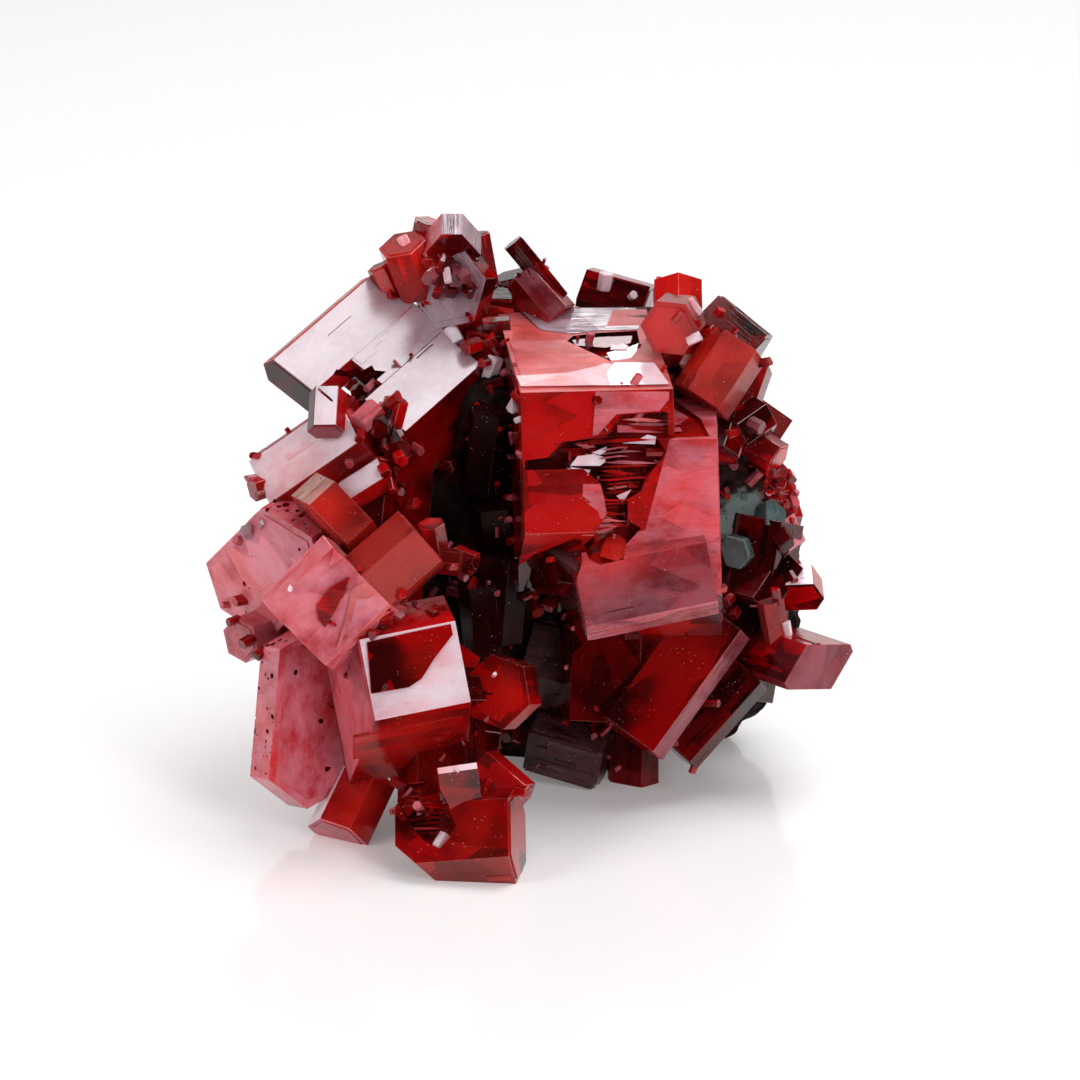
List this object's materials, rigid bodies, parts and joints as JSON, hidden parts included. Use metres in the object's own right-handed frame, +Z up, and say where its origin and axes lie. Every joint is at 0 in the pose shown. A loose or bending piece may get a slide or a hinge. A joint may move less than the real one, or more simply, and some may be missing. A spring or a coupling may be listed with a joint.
{
  "type": "vanadinite crystal cluster on matrix",
  "caption": "Free-standing mineral specimen: intergrown blocky six-sided deep red crystals on a rough rock matrix, resting as modelled.",
  "frame": {"origin": "centre of the object's box on the surface it stands on", "axes": "+Z up, +X to the viewer's right, -Y towards the viewer of the crystal side"},
  "size_m": [0.0604, 0.0508, 0.0525],
  "materials": {
    "vanadinite": "translucent deep red crystal, bright flat faces with fine growth lines",
    "matrix_rock": "rough dark brown rock with rusty and grey-green patches"
  },
  "bodies": {
    "root": {"left_crystals": "vanadinite", "right_crystals": "vanadinite", "back_tall_crystal": "vanadinite", "back_wide_crystal": "vanadinite", "back_low_crystal": "vanadinite", "back_stub_crystal": "vanadinite", "flank_right_crystal": "vanadinite", "flank_left_crystal": "vanadinite", "shoulder_left_crystal": "vanadinite", "shoulder_right_crystal": "vanadinite", "matrix": "matrix_rock"}
  },
  "joints": []
}
